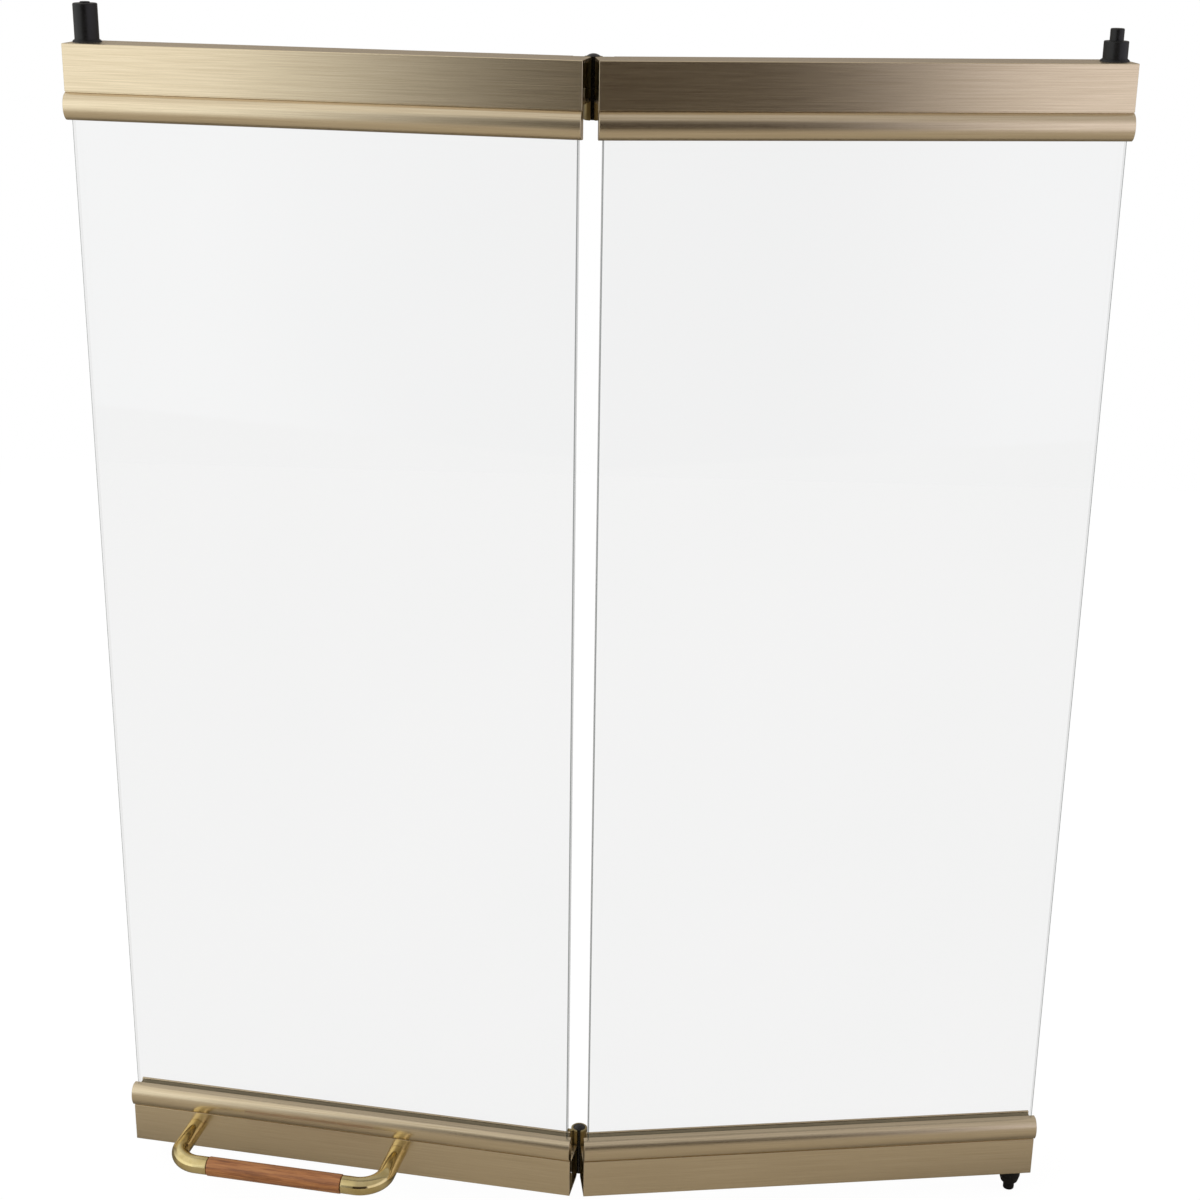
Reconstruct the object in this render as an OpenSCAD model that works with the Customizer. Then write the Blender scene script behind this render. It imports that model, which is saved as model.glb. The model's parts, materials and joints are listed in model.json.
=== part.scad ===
// Bi-fold fireplace door: two glass panels with hollow top and bottom rails,
// joined by two small hinges and standing in their half-open pose.
// The right panel turns on its outer pivots; the left panel carries the handle and the guide peg.
// Each panel is drawn in its own frame: x runs from the hinge to the outer end,
// y from the front face to the rear, z from the outer face of the rail.

/* [Panel] */
// Length of each rail
rail_len = 222.4; // [160:0.1:400]
// Height from the bottom rail's underside to the top rail's upper face
panel_h = 533.4; // [300:0.1:760]
// Turn of each panel from the line through the two outer ends, degrees
half_fold = 8.81; // [0:0.01:85]

/* [Rail] */
// Depth of the rail from the front face to the rear face
rail_depth = 20.6; // [20:0.1:24]
// Height of the hollow box of the rail
box_h = 17.6; // [16:0.1:19]
// Wall of the extrusion
wall = 1.6; // [1.2:0.1:1.8]
// Height of the flat front face
face_h = 19.7; // [19:0.1:21]
// Height of the rail at the top of the bead
bead_top = 31.4; // [30:0.1:34]
// Half depth of the bead's oval
bead_deep = 3.8; // [3:0.1:4]
// Half height of the bead's oval
bead_half = 5.8; // [5.5:0.1:6]
// How far the bead stands out from the flat face
bead_out = 2.9; // [1:0.1:3.2]
// Front wall of the glass slot, from the flat face
slot_front = 3; // [2.6:0.1:3.4]
// Rear wall of the glass slot, from the flat face
slot_rear = 10.8; // [10:0.1:12]
// Top of the thin lip behind the glass
lip_top = 28.4; // [24:0.1:30]
// Thickness of that lip
lip_t = 1.3; // [0.8:0.1:1.6]

/* [Glass] */
// Thickness of the pane
glass_t = 4; // [3:0.1:5]
// Front face of the pane, from the flat face of the rail
glass_front = 4; // [3.6:0.1:5]
// Pane edge inset at the hinge end
glass_inset_in = 2.3; // [0.5:0.1:6]
// Pane edge inset at the outer end
glass_inset_out = 0.6; // [0:0.1:6]

/* [Hinge] */
// Height of each hinge
hinge_h = 25.4; // [20:0.1:30]
// Radius of the knuckles
knuckle_r = 3.9; // [3.6:0.05:3.95]
// Hinge axis behind the flat face of the rail
axis_dep = 21; // [20.9:0.05:21.4]
// Gap from the hinge plane to each rail's end
end_gap = 0.19; // [0.1:0.01:2]
// Radius of the hinge pin
hinge_pin_r = 2.2; // [1.5:0.05:2.4]

/* [Pins] */
// Centre of the outer pins from the rail's outer end
pin_inset = 7; // [6.8:0.1:12]
// Radius of the guide peg and of the top pivot's body above their stems
peg_r = 5.15; // [4:0.05:5.2]
// Height of the guide peg above the rail
guide_rise = 15.9; // [10:0.1:20]
// Height of the top pivot's shoulder above the rail
pivot_rise = 8.3; // [6:0.1:12]
// Radius of the top pivot's tip
top_tip_r = 2.9; // [2:0.05:4]
// Length of the top pivot's tip
top_tip_len = 5; // [3:0.1:8]
// Drop of the bottom pivot's shoulder below the rail
foot_drop = 10.4; // [6:0.1:14]
// Radius of the bottom pivot's tip
foot_tip_r = 2.7; // [2:0.05:4]
// Length of the bottom pivot's tip
foot_tip_len = 4.5; // [3:0.1:8]

/* [Handle] */
// Handle centre from the hinge plane
handle_mid = 138.5; // [100:0.1:180]
// Distance between the two legs
leg_pitch = 103.8; // [90:0.1:130]
// Reach of the grip's axis from the flat face
handle_reach = 30; // [26:0.1:45]
// Height of the handle's axis on the rail
handle_z = 11.5; // [9:0.1:12]
// Radius of the brass rod
brass_r = 4.3; // [3.5:0.05:4.6]
// Radius of each bend at the rod's centre
bend_r = 12; // [9:0.1:16]
// Length of the wood grip
grip_len = 67.6; // [40:0.1:70]
// Radius of the wood grip
grip_r = 4.6; // [4:0.05:6]

/* [Hidden] */
$fn = 64;

gold = "#b79f78";
dark_bronze = "#4a3b26";
nylon = "#222222";
brass = "#c9a84a";
steel = "#9a9a9a";
wood = "#9a5a36";
pane = [0.85, 0.9, 0.88, 0.4];
vinyl = "#8d8f8d";

eps = 0.01;
snug = 0.05;                             // gap between pieces that lie against each other
outer_end = end_gap + rail_len;
pin_x = outer_end - pin_inset;
pin_y = rail_depth / 2;
web_in = box_h - wall;                   // inner face of the web under the glass slot
rear_in = rail_depth - wall;             // inner face of the rear wall
glass_z0 = box_h + 1.2;
glass_len = rail_len - glass_inset_in - glass_inset_out;

// Hinge
notch_len = 8.4;                         // corner cut out of the rail for the barrel
leaf_t = knuckle_r - (axis_dep - rear_in) - snug;
leaf_y0 = axis_dep - knuckle_r;
tongue_end = 27;
tongue_z0 = wall + 0.2;
tongue_z1 = web_in - 0.2;
neck_x = knuckle_r - snug;
neck_h = box_h - 0.2;                    // the neck fills the rail's corner and no more
bridge_end = neck_x + 1.35;
seam_w = 1.6;                            // open seam of the rolled knuckle
dome_r = 3;
dome_h = 1.15;
hinge_screw_x = [14, 22];
screw_z = (wall + web_in) / 2;
upper_hinge_z = panel_h - hinge_h;

// Outer pins
collar_r = 6.2;
collar_t = 0.9;
bush_r = 5.9;
bush_end = 2.4;
flange_r = 6.1;
flange_t = 1.2;
block_bore = 6.15;
block_len = 26;
spigot_r = 3.1;
spigot_end = 7.3;
spring_wire = 0.8;
spring_turns = 5.5;
spring_top = bush_end + flange_t;
block_screw_x = outer_end - 20;
stem_r = peg_r + 0.18;                   // fuller stem of a sprung pin where it runs in its bush
stem_top = 1.2;
foot_r = 5.1;
foot_in = 13;

// Handle
leg_x = [handle_mid + leg_pitch / 2, handle_mid - leg_pitch / 2];
grip_ends = [handle_mid + grip_len / 2, handle_mid - grip_len / 2];
rod_r = 2;
rod_grab = 8;
screw_r = 2;
screw_grab = 9;

// The lower pivot's shoulder is the origin; the hinge axis is worked out from it.
pivot_from_axis = pin_y - axis_dep;
axis_x = -pin_x * cos(half_fold) + pivot_from_axis * sin(half_fold);
axis_y = -pin_x * sin(half_fold) - pivot_from_axis * cos(half_fold);

module pivot_panel() {
  translate([axis_x, axis_y, foot_drop]) rotate(half_fold) translate([0, -axis_dep, 0]) children();
}

module lead_panel() {
  translate([axis_x, axis_y, foot_drop]) mirror([1, 0, 0]) rotate(half_fold)
    translate([0, -axis_dep, 0]) children();
}

// Turns a bottom rail's piece over so that it serves at the top.
module at_top() {
  translate([0, 0, panel_h]) mirror([0, 0, 1]) children();
}

// Round rod along the panel's depth, from y0 to y1.
module rod_y(x, z, y0, y1, r) {
  translate([x, y0, z]) rotate([-90, 0, 0]) cylinder(r = r, h = y1 - y0);
}

// Points of an oval with half axes rx and ry about c, from angle a0 to angle a1.
function oval(c, rx, ry, a0, a1, steps) =
  [for (i = [0 : steps]) let (a = a0 + (a1 - a0) * i / steps) c + [rx * cos(a), ry * sin(a)]];

// Outline of the extrusion: x is depth from the flat face, y is height from the outer face.
module rail_outline() {
  bead_c = [bead_deep - bead_out, bead_top - bead_half];
  crease = 0.4;
  lip_edge = 0.35;
  difference() {
    polygon(concat(
      [[0, 0], [0, face_h - crease], [crease, face_h]],
      oval(bead_c, bead_deep, bead_half, 236, 90, 18),
      [
        [slot_front, bead_top],
        [slot_front, box_h],
        [slot_rear, box_h],
        [slot_rear, lip_top - lip_edge],
        [slot_rear + lip_edge, lip_top],
        [slot_rear + lip_t - lip_edge, lip_top],
        [slot_rear + lip_t, lip_top - lip_edge],
        [slot_rear + lip_t, box_h],
        [rail_depth, box_h],
        [rail_depth, 0]
      ]
    ));
    translate([wall, wall]) square([rear_in - wall, web_in - wall]);
  }
}

// Plain rail with the hinge corner cut away, the lip cut back to the pane and the two hinge screw holes.
module rail_stock() {
  difference() {
    translate([end_gap, 0, 0]) rotate([90, 0, 90]) linear_extrude(rail_len) rail_outline();
    translate([-1, leaf_y0 - 0.5, -1]) cube([notch_len + 1, rail_depth, box_h + 2]);
    translate([-1, slot_rear - 1, box_h])
      cube([1 + end_gap + glass_inset_in, lip_t + 2, lip_top - box_h + 1]);
    for (x = hinge_screw_x) countersunk_hole(x, screw_z);
  }
}

// Hole through the rear wall with a cone for a flat screw head.
module countersunk_hole(x, z) {
  rod_y(x, z, rear_in - 1, rail_depth + 1, 1.6);
  translate([x, rail_depth - 1.3, z]) rotate([-90, 0, 0])
    cylinder(r1 = 1.6, r2 = 3, h = 1.4);
}

// Flat-head screw driven from the rear towards the front.
module flat_screw(x, z, tip_y) {
  rod_y(x, z, tip_y, rail_depth - 1.25, 1.5);
  translate([x, rail_depth - 1.3, z]) rotate([-90, 0, 0])
    difference() {
      cylinder(r1 = 1.5, r2 = 2.75, h = 1.25);
      translate([0, 0, 0.8]) for (turn = [0, 90])
        rotate(turn) translate([-1.6, -0.3, 0]) cube([3.2, 0.6, 1]);
    }
}

module pin_rail() {
  difference() {
    rail_stock();
    translate([pin_x, pin_y, -1]) cylinder(r = bush_r + snug, h = wall + 2);
    countersunk_hole(block_screw_x, screw_z);
  }
}

module foot_rail() {
  difference() {
    rail_stock();
    translate([pin_x, pin_y, -1]) cylinder(r = foot_r + 0.15, h = wall + 2);
    countersunk_hole(block_screw_x, screw_z);
  }
}

// Handle rail: screw holes in the front wall and driver holes behind them.
module handle_rail() {
  difference() {
    rail_stock();
    for (x = leg_x) {
      rod_y(x, handle_z, -1, wall + 1, screw_r + 0.3);
      rod_y(x, handle_z, rear_in - 1, rail_depth + 1, 4.2);
    }
  }
}

module glazing_outline() {
  y0 = slot_front + snug;
  y1 = slot_rear - snug;
  z0 = box_h + snug;
  difference() {
    translate([y0, z0]) square([y1 - y0, lip_top - 0.6 - z0]);
    translate([glass_front - snug, glass_z0 - snug]) square([glass_t + 2 * snug, lip_top]);
  }
}

module glazing() {
  translate([end_gap + glass_inset_in, 0, 0]) rotate([90, 0, 90])
    linear_extrude(glass_len) glazing_outline();
}

module glass_pane() {
  translate([end_gap + glass_inset_in, glass_front, glass_z0])
    cube([glass_len, glass_t, panel_h - 2 * glass_z0]);
}

// Hinge leaf: knuckle from k0 to k1, neck in the rail's corner and tongue inside the rail.
module hinge_leaf(z0, k0, k1, neck_z, tz0, tz1) {
  difference() {
    union() {
      translate([0, axis_dep, z0 + k0]) cylinder(r = knuckle_r, h = k1 - k0);
      translate([0, leaf_y0, z0 + k0]) cube([bridge_end, leaf_t, k1 - k0]);
      translate([neck_x, leaf_y0, neck_z]) cube([notch_len - 0.2 - neck_x, leaf_t, neck_h]);
      translate([neck_x, leaf_y0, tz0]) cube([tongue_end - neck_x, leaf_t, tz1 - tz0]);
    }
    translate([0, axis_dep, z0 - 1]) cylinder(r = hinge_pin_r + snug, h = hinge_h + 2);
    translate([0, axis_dep, z0 - 1]) rotate(-half_fold)
      translate([-seam_w / 2, -knuckle_r - 1, 0]) cube([seam_w, knuckle_r + 1, hinge_h + 2]);
    for (x = hinge_screw_x) rod_y(x, (tz0 + tz1) / 2, leaf_y0 - 1, rear_in + 1, 1.55);
  }
}

module lead_leaf(z0, neck_z, tz0, tz1) {
  hinge_leaf(z0, hinge_h / 2 + snug, hinge_h, neck_z, tz0, tz1);
}

module pivot_leaf(z0, neck_z, tz0, tz1) {
  hinge_leaf(z0, 0, hinge_h / 2 - snug, neck_z, tz0, tz1);
}

module hinge_pin(z0) {
  ball_r = (dome_r * dome_r + dome_h * dome_h) / (2 * dome_h);
  translate([0, axis_dep, z0]) {
    cylinder(r = hinge_pin_r, h = hinge_h + eps);
    intersection() {
      translate([0, 0, hinge_h + dome_h - ball_r]) sphere(r = ball_r);
      translate([0, 0, hinge_h]) cylinder(r = ball_r, h = dome_h);
    }
  }
}

module hinge_screws() {
  for (x = hinge_screw_x) {
    flat_screw(x, screw_z, leaf_y0 - 0.6);
    at_top() flat_screw(x, screw_z, leaf_y0 - 0.6);
  }
}

// Nylon block that fills the hollow end of a rail.
module end_block() {
  gap = snug;
  difference() {
    translate([outer_end - block_len, wall + gap, wall + gap])
      cube([block_len, rear_in - wall - 2 * gap, web_in - wall - 2 * gap]);
    rod_y(block_screw_x, screw_z, rear_in - 8, rear_in + 1, 1.55);
  }
}

module spring_block() {
  difference() {
    end_block();
    translate([pin_x, pin_y, 0]) cylinder(r = block_bore, h = box_h);
  }
}

module foot_block() {
  difference() {
    end_block();
    translate([pin_x, pin_y, 0]) cylinder(r = foot_r + 0.02, h = foot_in);
  }
}

// Flanged bush; z grows into the rail.
module pin_bush() {
  translate([pin_x, pin_y, 0]) difference() {
    union() {
      translate([0, 0, -collar_t]) cylinder(r1 = collar_r - 0.5, r2 = collar_r, h = collar_t);
      cylinder(r = bush_r, h = bush_end - snug);
    }
    translate([0, 0, -2]) cylinder(r = stem_r + snug, h = 6);
  }
}

// Stem, flange and spigot that keep a sprung pin inside its bush.
module pin_root() {
  translate([0, 0, -stem_top]) cylinder(r = stem_r, h = stem_top + bush_end + eps);
  translate([0, 0, bush_end]) cylinder(r = flange_r - 0.02, h = flange_t);
  translate([0, 0, bush_end]) cylinder(r = spigot_r, h = spigot_end - bush_end);
}

module guide_peg_shape() {
  nub_r = 2.1;
  nub_h = 0.6;
  edge = 0.5;
  translate([pin_x, pin_y, 0]) {
    translate([0, 0, -guide_rise + edge]) cylinder(r = peg_r, h = guide_rise - edge - stem_top + eps);
    translate([0, 0, -guide_rise]) cylinder(r1 = peg_r - edge, r2 = peg_r, h = edge + eps);
    translate([0, 0, -guide_rise - nub_h]) cylinder(r = nub_r, h = nub_h + eps);
    pin_root();
  }
}

module top_pivot_shape() {
  edge = 0.4;
  tip = pivot_rise + top_tip_len;
  translate([pin_x, pin_y, 0]) {
    translate([0, 0, -pivot_rise]) cylinder(r = peg_r, h = pivot_rise - stem_top + eps);
    translate([0, 0, -tip + edge]) cylinder(r = top_tip_r, h = top_tip_len);
    translate([0, 0, -tip]) cylinder(r1 = top_tip_r - edge, r2 = top_tip_r, h = edge + eps);
    pin_root();
  }
}

module foot_shape() {
  edge = 0.4;
  taper = 3.4;
  tip = foot_drop + foot_tip_len;
  translate([pin_x, pin_y, 0]) {
    translate([0, 0, -foot_drop + taper]) cylinder(r = foot_r, h = foot_drop - taper + foot_in - snug);
    translate([0, 0, -foot_drop]) cylinder(r1 = foot_r - 1, r2 = foot_r, h = taper + eps);
    translate([0, 0, -tip + edge]) cylinder(r = foot_tip_r, h = foot_tip_len);
    translate([0, 0, -tip]) cylinder(r1 = foot_tip_r - edge, r2 = foot_tip_r, h = edge + eps);
  }
}

// Compression spring: a six-sided wire swept round the spigot.
module pin_spring() {
  steps = 14;
  sides = 6;
  wire = spring_wire / 2;
  coil_r = spigot_r + wire + 0.5;
  z_top = spring_top + wire + snug;
  z_end = web_in - wire - snug;
  count = floor(spring_turns * steps);
  ring = [for (i = [0 : count]) let (t = i / count, a = 360 * spring_turns * t)
    for (j = [0 : sides - 1]) let (b = 360 * j / sides, r = coil_r + wire * cos(b))
      [r * cos(a), r * sin(a), z_top + (z_end - z_top) * t + wire * sin(b)]];
  skin = [for (i = [0 : count - 1]) for (j = [0 : sides - 1]) let (k = (j + 1) % sides)
    [i * sides + j, i * sides + k, (i + 1) * sides + k, (i + 1) * sides + j]];
  first_cap = [for (j = [sides - 1 : -1 : 0]) j];
  last_cap = [for (j = [0 : sides - 1]) count * sides + j];
  translate([pin_x, pin_y, 0]) polyhedron(points = ring, faces = concat(skin, [first_cap, last_cap]));
}

// One brass elbow; way is 1 towards the hinge and -1 towards the outer end.
module elbow(x, grip_end) {
  way = sign(grip_end - x);
  translate([x, 0, handle_z]) mirror([way < 0 ? 1 : 0, 0, 0]) {
    difference() {
      union() {
        rod_y(0, 0, -handle_reach + bend_r, 0, brass_r);
        translate([bend_r, -handle_reach + bend_r, 0]) rotate(180)
          rotate_extrude(angle = 90) translate([bend_r, 0]) circle(r = brass_r);
        translate([bend_r, -handle_reach, 0]) rotate([0, 90, 0])
          cylinder(r = brass_r, h = abs(grip_end - x) - bend_r);
      }
      rod_y(0, 0, -screw_grab, 1, screw_r + 0.02);
      translate([abs(grip_end - x) - rod_grab, -handle_reach, 0]) rotate([0, 90, 0])
        cylinder(r = rod_r + 0.02, h = rod_grab + 1);
    }
  }
}

module grip_shape() {
  edge = 0.4;
  bevel = 0.3;
  translate([grip_ends[1] + snug, -handle_reach, handle_z]) rotate([0, 90, 0]) difference() {
    union() {
      cylinder(r1 = grip_r - bevel, r2 = grip_r, h = edge);
      translate([0, 0, edge]) cylinder(r = grip_r, h = grip_len - 2 * (snug + edge));
      translate([0, 0, grip_len - 2 * snug - edge]) cylinder(r1 = grip_r, r2 = grip_r - bevel, h = edge);
    }
    translate([0, 0, -1]) cylinder(r = rod_r + 0.1, h = grip_len + 2);
  }
}

module tie_rod_shape() {
  reach = rod_grab - 0.5;
  translate([grip_ends[1] - reach, -handle_reach, handle_z]) rotate([0, 90, 0])
    cylinder(r = rod_r, h = grip_len + 2 * reach);
}

module handle_screw_shapes() {
  washer = 0.9;
  head = 2.4;
  for (x = leg_x) {
    rod_y(x, handle_z, -screw_grab + 1, wall + washer + 1, screw_r);
    difference() {
      rod_y(x, handle_z, wall + washer, wall + washer + head, 3.8);
      for (turn = [0, 90]) translate([x, wall + washer + head - 0.9, handle_z]) rotate([0, turn, 0])
        translate([-2.2, 0, -0.4]) cube([4.4, 2, 0.8]);
    }
  }
}

module washer_shapes() {
  for (x = leg_x) difference() {
    rod_y(x, handle_z, wall, wall + 0.9, 4.1);
    rod_y(x, handle_z, wall - 1, wall + 2, screw_r + 0.15);
  }
}

module left_glass() { color(pane) lead_panel() glass_pane(); }
module right_glass() { color(pane) pivot_panel() glass_pane(); }

module left_top_rail() { color(gold) lead_panel() at_top() pin_rail(); }
module left_bottom_rail() { color(gold) lead_panel() handle_rail(); }
module right_top_rail() { color(gold) pivot_panel() at_top() pin_rail(); }
module right_bottom_rail() { color(gold) pivot_panel() foot_rail(); }

module left_top_glazing() { color(vinyl) lead_panel() at_top() glazing(); }
module left_bottom_glazing() { color(vinyl) lead_panel() glazing(); }
module right_top_glazing() { color(vinyl) pivot_panel() at_top() glazing(); }
module right_bottom_glazing() { color(vinyl) pivot_panel() glazing(); }

module upper_hinge_lead_leaf() {
  color(dark_bronze) lead_panel()
    lead_leaf(upper_hinge_z, panel_h - neck_h, panel_h - tongue_z1, panel_h - tongue_z0);
}
module lower_hinge_lead_leaf() { color(dark_bronze) lead_panel() lead_leaf(0, 0, tongue_z0, tongue_z1); }
module upper_hinge_pivot_leaf() {
  color(dark_bronze) pivot_panel()
    pivot_leaf(upper_hinge_z, panel_h - neck_h, panel_h - tongue_z1, panel_h - tongue_z0);
}
module lower_hinge_pivot_leaf() { color(dark_bronze) pivot_panel() pivot_leaf(0, 0, tongue_z0, tongue_z1); }
module upper_hinge_pin() { color(nylon) pivot_panel() hinge_pin(upper_hinge_z); }
module lower_hinge_pin() { color(nylon) pivot_panel() hinge_pin(0); }
module lead_hinge_screws() { color(steel) lead_panel() hinge_screws(); }
module pivot_hinge_screws() { color(steel) pivot_panel() hinge_screws(); }

module guide_block() { color(nylon) lead_panel() at_top() spring_block(); }
module guide_bushing() { color(nylon) lead_panel() at_top() pin_bush(); }
module guide_peg() { color(nylon) lead_panel() at_top() guide_peg_shape(); }
module guide_spring() { color(steel) lead_panel() at_top() pin_spring(); }
module guide_block_screw() {
  color(steel) lead_panel() at_top() flat_screw(block_screw_x, screw_z, rear_in - 7);
}

module top_pivot_block() { color(nylon) pivot_panel() at_top() spring_block(); }
module top_pivot_bushing() { color(nylon) pivot_panel() at_top() pin_bush(); }
module top_pivot_pin() { color(nylon) pivot_panel() at_top() top_pivot_shape(); }
module top_pivot_spring() { color(steel) pivot_panel() at_top() pin_spring(); }
module top_block_screw() {
  color(steel) pivot_panel() at_top() flat_screw(block_screw_x, screw_z, rear_in - 7);
}

module bottom_pivot_block() { color(nylon) pivot_panel() foot_block(); }
module bottom_pivot_pin() { color(nylon) pivot_panel() foot_shape(); }
module bottom_block_screw() { color(steel) pivot_panel() flat_screw(block_screw_x, screw_z, rear_in - 7); }

module handle_outer_elbow() { color(brass) lead_panel() elbow(leg_x[0], grip_ends[0]); }
module handle_inner_elbow() { color(brass) lead_panel() elbow(leg_x[1], grip_ends[1]); }
module handle_grip() { color(wood) lead_panel() grip_shape(); }
module handle_tie_rod() { color(steel) lead_panel() tie_rod_shape(); }
module handle_screws() { color(steel) lead_panel() handle_screw_shapes(); }
module handle_washers() { color(steel) lead_panel() washer_shapes(); }

left_glass();
left_top_rail();
left_bottom_rail();
left_top_glazing();
left_bottom_glazing();
upper_hinge_lead_leaf();
lower_hinge_lead_leaf();
lead_hinge_screws();
guide_block();
guide_bushing();
guide_peg();
guide_spring();
guide_block_screw();
handle_outer_elbow();
handle_inner_elbow();
handle_grip();
handle_tie_rod();
handle_screws();
handle_washers();
right_glass();
right_top_rail();
right_bottom_rail();
right_top_glazing();
right_bottom_glazing();
upper_hinge_pivot_leaf();
lower_hinge_pivot_leaf();
upper_hinge_pin();
lower_hinge_pin();
pivot_hinge_screws();
top_pivot_block();
top_pivot_bushing();
top_pivot_pin();
top_pivot_spring();
top_block_screw();
bottom_pivot_block();
bottom_pivot_pin();
bottom_block_screw();
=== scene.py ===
import json
import math

import bmesh
import bpy
from mathutils import Matrix, Vector
from mathutils.geometry import tessellate_polygon


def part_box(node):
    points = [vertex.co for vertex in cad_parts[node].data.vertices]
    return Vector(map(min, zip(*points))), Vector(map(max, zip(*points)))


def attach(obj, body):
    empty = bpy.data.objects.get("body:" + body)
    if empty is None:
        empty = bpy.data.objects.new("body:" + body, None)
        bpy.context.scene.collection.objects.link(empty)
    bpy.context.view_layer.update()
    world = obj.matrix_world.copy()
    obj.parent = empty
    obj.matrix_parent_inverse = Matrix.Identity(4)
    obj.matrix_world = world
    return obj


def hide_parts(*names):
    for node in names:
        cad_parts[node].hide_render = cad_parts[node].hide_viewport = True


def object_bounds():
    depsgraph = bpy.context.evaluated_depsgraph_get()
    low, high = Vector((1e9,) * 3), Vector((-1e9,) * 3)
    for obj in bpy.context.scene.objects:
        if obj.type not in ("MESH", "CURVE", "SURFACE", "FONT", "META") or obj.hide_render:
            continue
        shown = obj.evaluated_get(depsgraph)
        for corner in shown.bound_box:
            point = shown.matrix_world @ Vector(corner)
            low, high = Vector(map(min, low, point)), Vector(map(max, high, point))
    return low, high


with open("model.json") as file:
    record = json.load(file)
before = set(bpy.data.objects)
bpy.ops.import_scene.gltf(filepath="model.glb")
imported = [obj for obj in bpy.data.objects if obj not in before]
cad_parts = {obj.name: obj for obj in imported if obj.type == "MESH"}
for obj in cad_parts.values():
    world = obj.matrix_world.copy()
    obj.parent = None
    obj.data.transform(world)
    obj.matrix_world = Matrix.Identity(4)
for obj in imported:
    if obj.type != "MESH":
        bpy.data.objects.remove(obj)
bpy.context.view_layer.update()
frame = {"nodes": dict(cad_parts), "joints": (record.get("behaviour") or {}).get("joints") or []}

mm = 0.001
snug = 0.05        # clearance between two fitted pieces
overrun = 1        # how far a cutter runs past the faces it opens
pilotHole = 1.55   # radius of the hole that a screw bites into
sharpAngle = 38    # degrees; shallower edges are shaded smooth

# Each panel is drawn lying in its own millimetres: x runs from the hinge plane to the outer end,
# y from the flat front face to the rear, z from the outer face of the rail.
panel = {
    "railLength": 222.4,
    "endGap": 0.19,      # hinge plane to the rail's end
    "axisDepth": 21.0,   # hinge axis behind the flat face
    "pinInset": 7.0,     # outer end to the pins
    "pinDepth": 10.3,
}

hingeAt = Vector([j for j in frame["joints"] if j["name"] == "centre_fold"][0]["pos_m"])
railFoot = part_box("right_bottom_rail")[0].z
panelHigh = (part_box("right_top_rail")[1].z - railFoot) / mm
outerEnd = panel["endGap"] + panel["railLength"]
pinAlong = outerEnd - panel["pinInset"]
# The lower pivot is the origin, so its distance from the hinge gives the fold.
pinBehind = (panel["axisDepth"] - panel["pinDepth"]) * mm
foldAngle = math.atan2(-hingeAt.y, -hingeAt.x) + math.asin(pinBehind / hingeAt.xy.length)
print("frame loaded, each panel is turned", round(math.degrees(foldAngle), 2), "degrees")


# Corners are (x, y, radius); the result is a list of 2D points with the corners rounded.
def roundCorners(corners, closed=True, steps=4):
    points = []
    last = len(corners) - 1
    for i, (x, y, radius) in enumerate(corners):
        here = Vector((x, y))
        if radius == 0 or (not closed and i in (0, last)):
            points.append(here)
            continue
        back = (Vector(corners[i - 1][:2]) - here).normalized()
        ahead = (Vector(corners[(i + 1) % len(corners)][:2]) - here).normalized()
        half = back.angle(ahead) / 2
        centre = here + (back + ahead).normalized() * (radius / math.sin(half))
        first = here + back * (radius / math.tan(half)) - centre
        final = here + ahead * (radius / math.tan(half)) - centre
        turn = first.angle_signed(final)
        for k in range(steps + 1):
            points.append(centre + Matrix.Rotation(-turn * k / steps, 2) @ first)
    return points


def arcPoints(centre, radiusX, radiusY, startDeg, endDeg, steps):
    points = []
    for k in range(steps + 1):
        a = math.radians(startDeg + (endDeg - startDeg) * k / steps)
        points.append(Vector((centre[0] + radiusX * math.cos(a), centre[1] + radiusY * math.sin(a))))
    return points


# Moves a loop towards its left side, where the material is.
def insetLoop(loop, amount):
    moved = []
    for before, here, after in zip(loop[-1:] + loop[:-1], loop, loop[1:] + loop[:1]):
        a = (here - before).normalized()
        b = (after - here).normalized()
        left = Vector((-a.y - b.y, a.x + b.x)).normalized()
        moved.append(here + left * (amount / max(0.5, left.dot(Vector((-a.y, a.x))))))
    return moved


def makePiece(name, bm):
    bmesh.ops.remove_doubles(bm, verts=bm.verts, dist=1e-4)
    bmesh.ops.recalc_face_normals(bm, faces=bm.faces)
    mesh = bpy.data.meshes.new(name)
    bm.to_mesh(mesh)
    bm.free()
    piece = bpy.data.objects.new(name, mesh)
    bpy.context.scene.collection.objects.link(piece)
    return piece


# Turns (outline across, outline up, length) into panel axes.
layouts = {
    "x": Matrix(((0, 0, 1, 0), (1, 0, 0, 0), (0, 1, 0, 0), (0, 0, 0, 1))),
    "y": Matrix(((1, 0, 0, 0), (0, 0, 1, 0), (0, 1, 0, 0), (0, 0, 0, 1))),
    "z": Matrix.Identity(4),
}


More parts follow.
